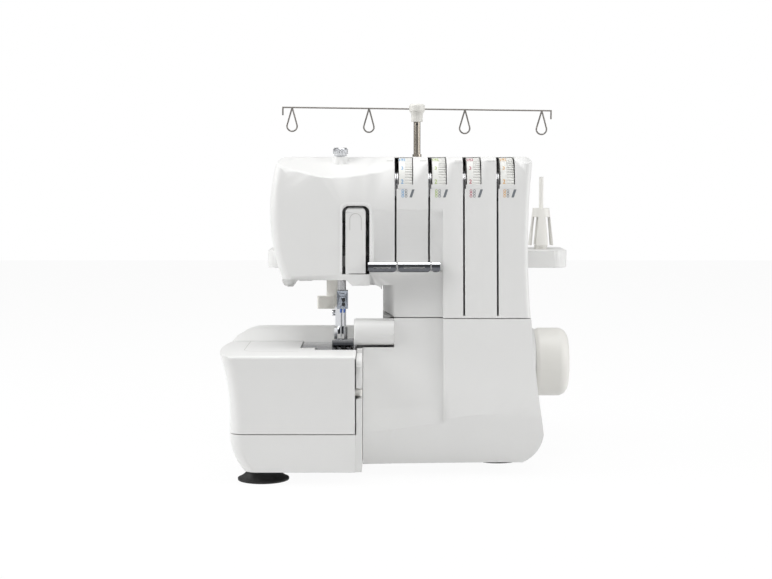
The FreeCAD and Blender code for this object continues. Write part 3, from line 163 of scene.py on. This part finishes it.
def barPlastic(name, look, middle, half, strapShade):
    # shell plastic on the bar; the straps beside it are painted black as the shade in the gaps beside the
    # bar
    material, shader, place = startMaterial(name, **{"IOR": moulded["index"]})
    offset = place.axis(0) - middle
    aside = offset.maths("ABSOLUTE", offset, 0.0)
    face = place.noise(moulded["tint"], moulded["tintDetail"]).mixed(look["dark"], look["light"])
    feed(shader, "Base Color", aside.above(half).mixed(face, strapShade))
    feed(shader, "Roughness", place.noise(moulded["gloss"]).spread(*moulded["rough"]))
    feed(shader, "Normal", place.softEdge(look["edge"]))
    return material


def metal(name, light, dark, rough, brush=(40.0, 40.0, 40.0), edge=0.0):
    material, shader, place = startMaterial(name, **{"Metallic": 1.0})
    streaks = place.stretched(brush).noise(20.0, 4.0)
    feed(shader, "Base Color", streaks.mixed(dark, light))
    feed(shader, "Roughness", streaks.spread(*rough))
    if edge:
        feed(shader, "Normal", place.softEdge(edge))
    return material


def needleSteel(name, blueAbove):
    # steel needles with the blue wash of the shanks above one height
    material, shader, place = startMaterial(name, **{"Metallic": 1.0})
    steel = place.noise(800.0).mixed((0.5, 0.51, 0.53), (0.7, 0.71, 0.73))
    feed(shader, "Base Color", place.axis(2).above(blueAbove).mixed(steel, (0.12, 0.2, 0.5)))
    feed(shader, "Roughness", place.noise(300.0).spread(0.18, 0.28))
    return material


def shadedSteel(name, darkBelow, brightAbove):
    # plated steel with a painted reflection: dark below one height, bright above another, fading between
    material, shader, place = startMaterial(name, **{"Metallic": 1.0})
    reach = {0: place.axis(2), 1: darkBelow, 2: brightAbove}
    reflectionShare = place.add("ShaderNodeMapRange", {}, reach)
    streaks = place.noise(300.0) * 0.1
    feed(shader, "Base Color", (reflectionShare + streaks).mixed((0.10, 0.105, 0.12), (0.85, 0.86, 0.88)))
    feed(shader, "Roughness", streaks + 0.1)
    feed(shader, "Normal", place.softEdge(0.3 * mm))
    return material


def milkyLens(name):
    material, shader, place = startMaterial(name, **{"IOR": 1.45, "Transmission Weight": 0.35})
    feed(shader, "Base Color", place.noise(90.0).mixed((0.86, 0.86, 0.84), (0.93, 0.93, 0.92)))
    feed(shader, "Roughness", place.noise(150.0).spread(0.3, 0.4))
    return material


def ink(name, colour):
    material, shader, place = startMaterial(name)
    dark = [0.82 * channel for channel in colour]
    feed(shader, "Base Color", place.noise(900.0).mixed(dark, colour))
    feed(shader, "Roughness", place.noise(500.0).spread(0.4, 0.5))
    return material


shellLook = {"light": (0.80, 0.80, 0.79), "dark": (0.77, 0.77, 0.76), "edge": 0.7 * mm}
creamLook = {"light": (0.80, 0.79, 0.755), "dark": (0.775, 0.765, 0.73), "edge": 0.6 * mm}
finishes = {
    "shell_white": plastic("satin white shell", **shellLook),
    "trim_cream": plastic("satin cream trim", **creamLook),
    "dial_white": plastic("dial white", (0.86, 0.86, 0.83), (0.82, 0.82, 0.79), grain=0.03, edge=0.3 * mm),
    "lamp_clear": milkyLens("milky lens"),
    "polished_steel": metal("bright plated steel", (0.76, 0.77, 0.79), (0.62, 0.63, 0.66), (0.07, 0.16),
                            edge=0.3 * mm),
    "bar_steel": metal("ground steel", (0.62, 0.62, 0.63), (0.45, 0.45, 0.46), (0.2, 0.34),
                       brush=(30.0, 30.0, 3.0)),
    "clamp_grey": metal("blued grey steel", (0.46, 0.5, 0.56), (0.36, 0.39, 0.45), (0.2, 0.32),
                        edge=0.4 * mm),
    "screw_black": plastic("blackened steel", (0.035, 0.035, 0.04), (0.02, 0.02, 0.022), (0.25, 0.4)),
    "frame_metal": metal("cast frame", (0.6, 0.6, 0.6), (0.45, 0.45, 0.46), (0.4, 0.55)),
    "pole_steel": metal("drawn pole steel", (0.5, 0.46, 0.4), (0.3, 0.27, 0.23), (0.2, 0.32),
                        brush=(60.0, 60.0, 1.0)),
    "wire_dark": metal("dark wire", (0.34, 0.32, 0.3), (0.2, 0.19, 0.18), (0.25, 0.4)),
    "holder_plastic": plastic("holder plastic", (0.78, 0.77, 0.73), (0.72, 0.71, 0.67), edge=0.3 * mm),
    "motor_paint": plastic("motor paint", (0.06, 0.06, 0.065), (0.04, 0.04, 0.045)),
    "pulley_black": plastic("pulley black", (0.04, 0.04, 0.042), (0.025, 0.025, 0.027)),
    "black_plastic": plastic("black plastic", (0.03, 0.03, 0.03), (0.018, 0.018, 0.018), edge=0.3 * mm),
    "black_rubber": plastic("black rubber", (0.022, 0.022, 0.022), (0.012, 0.012, 0.012), (0.5, 0.7),
                            grain=0.2),
}
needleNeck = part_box("needle_clamp")[0].z - 4 * mm
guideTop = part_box("thread_guides")[1].z
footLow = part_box("presser_foot")[0].z
# beyond half the bar's width from its middle, the take-up cover is painted black as shade
barLook = {"middle": -43.85 * mm, "half": 9.2 * mm, "strapShade": (0.03, 0.03, 0.03)}
ownFinish = {
    "needles": needleSteel("needle steel", needleNeck),
    "take_up_cover": barPlastic("take up bar", shellLook, **barLook),
    # the lifter is painted brighter than the cream trim, as painted light where it sits in shade under the
    # arm
    "presser_lifter": plastic("cream lifter painted light", (0.95, 0.93, 0.88), (0.92, 0.90, 0.85), edge=0.4 * mm),
    # the thread guides and the presser foot get a painted reflection, dark low down and bright higher up
    "thread_guides": shadedSteel("guide steel", guideTop - 2.2 * mm, guideTop - 1.2 * mm),
    "presser_foot": shadedSteel("foot steel", footLow + 3.0 * mm, footLow + 7.0 * mm),
}
inks = {
    "blue": ink("blue ink", (0.12, 0.42, 0.78)),
    "green": ink("green ink", (0.42, 0.6, 0.08)),
    "crimson": ink("crimson ink", (0.55, 0.05, 0.12)),
    "orange": ink("orange ink", (0.85, 0.42, 0.05)),
    "grey": ink("grey ink", (0.2, 0.22, 0.24)),
    # grey lines painted as the shade in moulded grooves
    "pale": ink("grey painted groove shade", (0.62, 0.62, 0.6)),
    # a near-white line painted as the highlight on the recess bevel
    "bright": ink("painted rim highlight", (0.92, 0.92, 0.91)),
}
print("finishes made:", len(finishes) + len(ownFinish) + len(inks))


def wear(obj, material):
    obj.data.materials.clear()
    obj.data.materials.append(material)


def link(name, data):
    obj = bpy.data.objects.new(name, data)
    bpy.context.scene.collection.objects.link(obj)
    return obj


def asShown(obj):
    return bpy.data.meshes.new_from_object(obj.evaluated_get(bpy.context.evaluated_depsgraph_get()))


def meshFrom(shape, name):
    mesh = bpy.data.meshes.new(name)
    shape.to_mesh(mesh)
    shape.free()
    return mesh


def outwardMesh(shape, name):
    bmesh.ops.recalc_face_normals(shape, faces=shape.faces)
    return meshFrom(shape, name)


# Every node gets its finish, and all but the plain ones a smooth copy
smoothing = {"angle": math.radians(28), "weld": 0.001 * mm}
ownAngle = {"front_cover": math.radians(34), "looper_door": math.radians(18)}  # soft hollow, crisp crease
plainNodes = ["frame_casting", "feed_dogs", "lower_knife", "upper_knife", "needle_plate", "stand_bracket",
              "power_inlet", "lower_looper", "upper_looper", "drive_belt"]


def smoothCopy(node, angle):
    mesh = frame["nodes"][node].data.copy()
    shape = bmesh.new()
    shape.from_mesh(mesh)
    bmesh.ops.remove_doubles(shape, verts=shape.verts, dist=smoothing["weld"])
    for face in shape.faces:
        face.smooth = True
    shape.to_mesh(mesh)
    shape.free()
    mesh.set_sharp_from_angle(angle=angle)
    obj = link(node + "_skin", mesh)
    weighted = obj.modifiers.new("weighted", "WEIGHTED_NORMAL")
    weighted.keep_sharp = True
    obj.data = asShown(obj)
    obj.modifiers.clear()
    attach(obj, nodeBodies[node])
    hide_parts(node)
    return obj


for node, cad in frame["nodes"].items():
    finish = ownFinish.get(node, finishes[nodeSlots[node]])
    wear(cad, finish)
    if node not in plainNodes:
        wear(smoothCopy(node, ownAngle.get(node, smoothing["angle"])), finish)
print("nodes finished:", len(frame["nodes"]))


def hollow(shape, line):
    # leaves only a rim of a flat shape
    bmesh.ops.inset_region(shape, faces=shape.faces[:], thickness=line,
                           use_boundary=True, use_even_offset=True)
    middle = max(shape.faces, key=lambda face: face.calc_area())
    bmesh.ops.delete(shape, geom=[middle], context="FACES")


def flatPlate(width, height):
    shape = bmesh.new()
    bmesh.ops.create_grid(shape, x_segments=1, y_segments=1, size=0.5)
    bmesh.ops.scale(shape, vec=(width, height, 1), verts=shape.verts)
    return shape


def addMesh(shape, mesh):
    shape.from_mesh(mesh)
    bpy.data.meshes.remove(mesh)


# Numbers round each tension dial
dialPrint = {"size": 5.4 * mm, "step": math.radians(30), "front": 2, "start": math.radians(9.5),
             "boxed": 4, "count": 10, "lift": 0.14 * mm, "across": 0.25, "box": (5.2 * mm, 6.2 * mm),
             "line": 0.5 * mm, "cuts": 2}
dialInks = {"tension_dial_1": "blue", "tension_dial_2": "green", "tension_dial_3": "crimson",
            "tension_dial_4": "orange"}


def textMesh(words, size):
    curve = bpy.data.curves.new(words, "FONT")
    curve.body = words
    curve.size = size
    curve.align_x = "CENTER"
    curve.align_y = "CENTER"
    letters = link(words, curve)
    bpy.context.view_layer.update()
    mesh = asShown(letters)
    bpy.data.objects.remove(letters)
    return mesh


def flatFrame(width, height, line):
    shape = flatPlate(width, height)
    hollow(shape, line)
    return meshFrom(shape, "box")


def wrapOnDial(shape, mesh, turn, centre, radius):
    # x of the flat mark stays along the dial, y goes round it
    flat = bmesh.new()
    flat.from_mesh(mesh)
    bmesh.ops.subdivide_edges(flat, edges=flat.edges, cuts=dialPrint["cuts"])
    for vert in flat.verts:
        angle = turn + vert.co.y / radius
        vert.co = centre + Vector((vert.co.x, -radius * math.cos(angle), radius * math.sin(angle)))
    flat.to_mesh(mesh)
    flat.free()
    addMesh(shape, mesh)


for node, colour in dialInks.items():
    low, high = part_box(node)
    centre = (low + high) / 2
    radius = (high.z - low.z) / 2 + dialPrint["lift"]
    centre.x = low.x + (high.x - low.x) * dialPrint["across"]
    marks = bmesh.new()
    for number in range(dialPrint["count"]):
        turn = dialPrint["start"] + (number - dialPrint["front"]) * dialPrint["step"]
        wrapOnDial(marks, textMesh(str(number), dialPrint["size"]), turn, centre, radius)
        if number == dialPrint["boxed"]:
            wrapOnDial(marks, flatFrame(*dialPrint["box"], dialPrint["line"]), turn, centre, radius)
    numbers = link(node + "_numbers", meshFrom(marks, node + "_numbers"))
    wear(numbers, inks[colour])
    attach(numbers, node)
print("dial numbers printed")


# Small marks pressed on to the covers
markStart = {"front": -0.2, "top": 0.2, "reach": 0.5}  # flat marks start well clear of the part
backward = Vector((0, 1, 0))
upright = Matrix.Rotation(math.radians(90), 3, "X")
roundSides = 16


def surfaceOf(node):
    shape = bmesh.new()
    shape.from_mesh(frame["nodes"][node].data)
    tree = BVHTree.FromBMesh(shape)
    shape.free()
    return tree


def pressOn(shape, node, way, lift):
    # moves every point of a flat mark along way on to the node's surface
    tree = surfaceOf(node)
    for vert in shape.verts:
        hit = tree.ray_cast(vert.co - way * markStart["reach"], way)[0]
        if hit is not None:
            vert.co = hit - way * lift


def addMark(shape, name, node, material, way=backward, lift=0.12 * mm):
    pressOn(shape, node, way, lift)
    mark = link(name, meshFrom(shape, name))
    wear(mark, material)
    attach(mark, nodeBodies[node])


def flatPatch(corners, cuts=3):
    shape = bmesh.new()
    face = shape.faces.new([shape.verts.new((x, markStart["front"], z)) for x, z in corners])
    bmesh.ops.subdivide_edges(shape, edges=face.edges[:], cuts=cuts, use_grid_fill=True)
    return shape


def standUp(shape, x, z):
    bmesh.ops.rotate(shape, cent=(0, 0, 0), matrix=upright, verts=shape.verts)
    bmesh.ops.translate(shape, vec=(x, markStart["front"], z), verts=shape.verts)


def ringPatch(shape, x, z, radii, line):
    ring = bmesh.new()
    bmesh.ops.create_circle(ring, cap_ends=True, radius=1.0, segments=roundSides)
    bmesh.ops.scale(ring, vec=(*radii, 1), verts=ring.verts)
    hollow(ring, line)
    standUp(ring, x, z)
    addMesh(shape, meshFrom(ring, "ring"))


threadMarks = {"top": 258.9 * mm, "height": 7.2 * mm, "links": 3, "chains": (3.5 * mm, 6.5 * mm),
               "ring": (1.15 * mm, 0.52), "line": 0.38 * mm, "bar": (9.6 * mm, 14.2 * mm),
               "barWidth": 2.2 * mm}
for index, (node, colour) in enumerate(dialInks.items()):
    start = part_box(node)[0].x
    top, bottom = threadMarks["top"], threadMarks["top"] - threadMarks["height"]
    tall = threadMarks["height"] / threadMarks["links"]
    radii = (threadMarks["ring"][0], tall * threadMarks["ring"][1])
    for inkName, across in zip((colour, "grey"), threadMarks["chains"]):
        chain = bmesh.new()
        for step in range(threadMarks["links"]):
            ringPatch(chain, start + across, top - tall * (step + 0.5), radii, threadMarks["line"])
        addMark(chain, "thread_chain_%s_%d" % (inkName, index + 1), "front_cover", inks[inkName])
    left, right = [start + place for place in threadMarks["bar"]]
    wide = threadMarks["barWidth"]
    bar = flatPatch([(left, bottom), (left + wide, bottom), (right, top), (right - wide, top)])
    addMark(bar, "thread_bar_%d" % (index + 1), "front_cover", inks["grey"])

windowSill = {"low": 259.2 * mm, "high": 263.3 * mm, "thick": 0.7 * mm, "left": 1.0 * mm,
              "right": 0.8 * mm, "probe": (6 * mm, 1 * mm)}
coverTree = surfaceOf("front_cover")


def coverFront(x, z):
    # the cover's front plane, carried on upwards from two points below the dial window
    low, high = [windowSill["low"] - below for below in windowSill["probe"]]
    starts = [Vector((x, -markStart["reach"], height)) for height in (low, high)]
    depths = [coverTree.ray_cast(start, backward)[0].y for start in starts]
    return depths[0] + (z - low) * (depths[1] - depths[0]) / (high - low)


for index, node in enumerate(dialInks):
    low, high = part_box(node)
    left, right = low.x - windowSill["left"], high.x + windowSill["right"]
    bottom, top = windowSill["low"], windowSill["high"]
    corners = [(left, bottom), (right, bottom), (right, top), (left, top)]
    middle = (low.x + high.x) / 2
    sill = bmesh.new()
    face = sill.faces.new([sill.verts.new((x, coverFront(middle, z), z)) for x, z in corners])
    made = bmesh.ops.extrude_face_region(sill, geom=[face])["geom"]
    moved = [item for item in made if isinstance(item, bmesh.types.BMVert)]
    bmesh.ops.translate(sill, vec=backward * windowSill["thick"], verts=moved)
    plate = link("dial_sill_%d" % (index + 1), outwardMesh(sill, "dial_sill_%d" % (index + 1)))
    wear(plate, finishes["shell_white"])
    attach(plate, nodeBodies["front_cover"])

indexLine = {"from": -11.0 * mm, "to": -5.2 * mm, "height": 284.5 * mm, "thick": 0.7 * mm}
for index, node in enumerate(dialInks):
    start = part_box(node)[0].x
    left, right = start + indexLine["from"], start + indexLine["to"]
    bottom, top = indexLine["height"], indexLine["height"] + indexLine["thick"]
    line = flatPatch([(left, bottom), (right, bottom), (right, top), (left, top)])
    # the index line beside each dial is a grey line of painted groove shade
    addMark(line, "dial_index_%d" % (index + 1), "front_cover", inks["pale"])

frameCuts = {"corner": 8, "longer": 4 * mm, "cuts": 12}


def roundedFrame(width, height, radius, line):
    shape = flatPlate(width, height)
    bmesh.ops.bevel(shape, geom=shape.verts[:], offset=radius, segments=frameCuts["corner"],
                    profile=0.5, affect="VERTICES", material=-1)
    hollow(shape, line)
    sides = [edge for edge in shape.edges if edge.calc_length() > frameCuts["longer"]]
    bmesh.ops.subdivide_edges(shape, edges=sides, cuts=frameCuts["cuts"])
    return shape


def keepAbove(shape, point, way):
    geometry = shape.verts[:] + shape.edges[:] + shape.faces[:]
    bmesh.ops.bisect_plane(shape, geom=geometry, plane_co=point, plane_no=way, clear_inner=True)


inlay = {"left": -145.0 * mm, "right": -40.0 * mm, "front": -105.0 * mm, "back": -10.0 * mm,
         "round": 14.0 * mm, "line": 0.7 * mm, "margin": 2 * mm, "lift": 0.05 * mm}
inlaySize = (inlay["right"] - inlay["left"], inlay["back"] - inlay["front"])
inlayMiddle = ((inlay["left"] + inlay["right"]) / 2, (inlay["front"] + inlay["back"]) / 2)
groove = roundedFrame(*inlaySize, inlay["round"], inlay["line"])
bmesh.ops.translate(groove, vec=(*inlayMiddle, markStart["top"]), verts=groove.verts)
keepAbove(groove, (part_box("needle_plate")[0].x - inlay["margin"], 0, 0), (-1, 0, 0))
keepAbove(groove, (0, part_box("cloth_plate")[1].y - inlay["margin"], 0), (0, -1, 0))
# the cloth plate's inlay groove is a grey line of painted shade
addMark(groove, "cloth_plate_inlay", "cloth_plate", inks["pale"], Vector((0, 0, -1)), inlay["lift"])

barLine = {"width": 10.9 * mm, "height": 43.6 * mm, "round": 0.499, "top": 237.4 * mm,
           "bottom": 222.0 * mm, "line": 0.55 * mm}
bow = roundedFrame(barLine["width"], barLine["height"], barLine["width"] * barLine["round"], barLine["line"])
standUp(bow, barLook["middle"], barLine["top"] - barLine["height"] / 2)
keepAbove(bow, (0, 0, barLine["bottom"]), (0, 0, 1))
# the bow round the take-up bar is a grey line of painted groove shade
addMark(bow, "take_up_bow", "take_up_cover", inks["pale"])

# a black disc painted as the shade inside the dimple on the pole
poleDimple = {"radius": 1.1 * mm, "height": 322.6 * mm}
low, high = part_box("pole_inner_tube")
dimple = bmesh.new()
bmesh.ops.create_circle(dimple, cap_ends=True, radius=poleDimple["radius"], segments=roundSides)
standUp(dimple, (low.x + high.x) / 2, poleDimple["height"])
addMark(dimple, "pole_dimple_shade", "pole_inner_tube", finishes["screw_black"])

# the bevel round the take-up recess is painted bright as the highlight where it faces up into the light
recessRim = {"middle": -43.6 * mm, "width": 29.4 * mm, "top": 247.4 * mm, "bottom": 184.0 * mm,
             "round": 6.0 * mm, "line": 2.3 * mm, "lift": 0.3 * mm}
rimTall = 2 * (recessRim["top"] - recessRim["bottom"])
rim = roundedFrame(recessRim["width"], rimTall, recessRim["round"], recessRim["line"])
standUp(rim, recessRim["middle"], recessRim["top"] - rimTall / 2)
keepAbove(rim, (0, 0, recessRim["bottom"]), (0, 0, 1))
addMark(rim, "recess_rim_highlight", "front_cover", inks["bright"], lift=recessRim["lift"])
print("cover marks made")

# Wall that closes the back between the bed and the column
backWall = {"low": (-43.0, 46.4, 44.6), "high": (-19.0, 48.4, 111.6)}
wallLow, wallHigh = Vector(backWall["low"]) * mm, Vector(backWall["high"]) * mm
wall = bmesh.new()
bmesh.ops.create_cube(wall, size=1.0)
bmesh.ops.scale(wall, vec=wallHigh - wallLow, verts=wall.verts)
bmesh.ops.translate(wall, vec=(wallLow + wallHigh) / 2, verts=wall.verts)
panel = link("bed_back_wall", outwardMesh(wall, "bed_back_wall"))
wear(panel, finishes["shell_white"])
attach(panel, nodeBodies["rear_cover"])
print("back closed")

# Floor, sky, lamps and camera
stageSet = {"floor": 3.0, "light": (0.9, 0.9, 0.9), "dark": (0.88, 0.88, 0.88), "rough": 0.9,
            "glow": 1.0, "glowShare": 0.95}


def stageWhite(name):
    # lit like paper, but plain white to the camera and in mirrors
    material, shader, place = startMaterial(name, **{"Roughness": stageSet["rough"]})
    tree = material.node_tree
    feed(shader, "Base Color", place.noise(3.0).mixed(stageSet["dark"], stageSet["light"]))
    path = tree.nodes.new("ShaderNodeLightPath")
    rays = [Sock(tree, path.outputs["Is %s Ray" % kind]) for kind in ("Camera", "Glossy", "Transmission")]
    seen = rays[0] + rays[1] + rays[2]
    glow = place.add("ShaderNodeEmission", {}, {"Color": (1, 1, 1, 1), "Strength": stageSet["glow"]})
    layers = {0: seen * stageSet["glowShare"], 1: Sock(tree, shader.outputs[0]), 2: glow}
    feed(tree.nodes["Material Output"], "Surface", place.add("ShaderNodeMixShader", {}, layers))
    return material


ground = bmesh.new()
bmesh.ops.create_grid(ground, x_segments=1, y_segments=1, size=stageSet["floor"])
floor = link("floor", outwardMesh(ground, "floor"))
wear(floor, stageWhite("floor white"))
floor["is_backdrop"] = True

skySet = {"light": 0.31, "shown": 1.0}
world = bpy.data.worlds.new("studio")
bpy.context.scene.world = world
world.use_nodes = True
skyTree = world.node_tree
sky = skyTree.nodes["Background"]
sky.inputs["Color"].default_value = (1, 1, 1, 1)
sky.inputs["Strength"].default_value = skySet["light"]
seen = Sock(skyTree, skyTree.nodes.new("ShaderNodeLightPath").outputs["Is Camera Ray"])
whiteSky = seen.add("ShaderNodeBackground", {}, {"Color": (1, 1, 1, 1), "Strength": skySet["shown"]})
skyMix = seen.add("ShaderNodeMixShader", {}, {0: seen, 1: Sock(skyTree, sky.outputs[0]), 2: whiteSky})
feed(skyTree.nodes["World Output"], "Surface", skyMix)

lamps = {
    "key": {"at": (-1.25, -0.2, 1.0), "size": 1.0, "power": 14.0},
    "fill": {"at": (1.4, -0.4, 0.7), "size": 1.0, "power": 10.0},
    "top": {"at": (0.0, -0.2, 1.7), "size": 1.2, "power": 15.0},
}
target = Vector((0, 0, 0.17))
for name, lamp in lamps.items():
    light = bpy.data.lights.new(name, "AREA")
    light.size = lamp["size"]
    light.energy = lamp["power"]
    holder = link(name, light)
    holder.location = lamp["at"]
    holder.rotation_euler = (target - Vector(lamp["at"])).to_track_quat("-Z", "Y").to_euler()
    holder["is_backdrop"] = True

shot = {"at": (-0.0162, -1.45, 0.281), "dip": math.radians(4.72), "lens": 70.3}
camera = link("camera", bpy.data.cameras.new("camera"))
camera.location = shot["at"]
camera.rotation_euler = (math.radians(90) - shot["dip"], 0, 0)
camera.data.lens = shot["lens"]
bpy.context.scene.camera = camera
bpy.context.scene.view_settings.view_transform = "Standard"
print("stage set")

low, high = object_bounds()
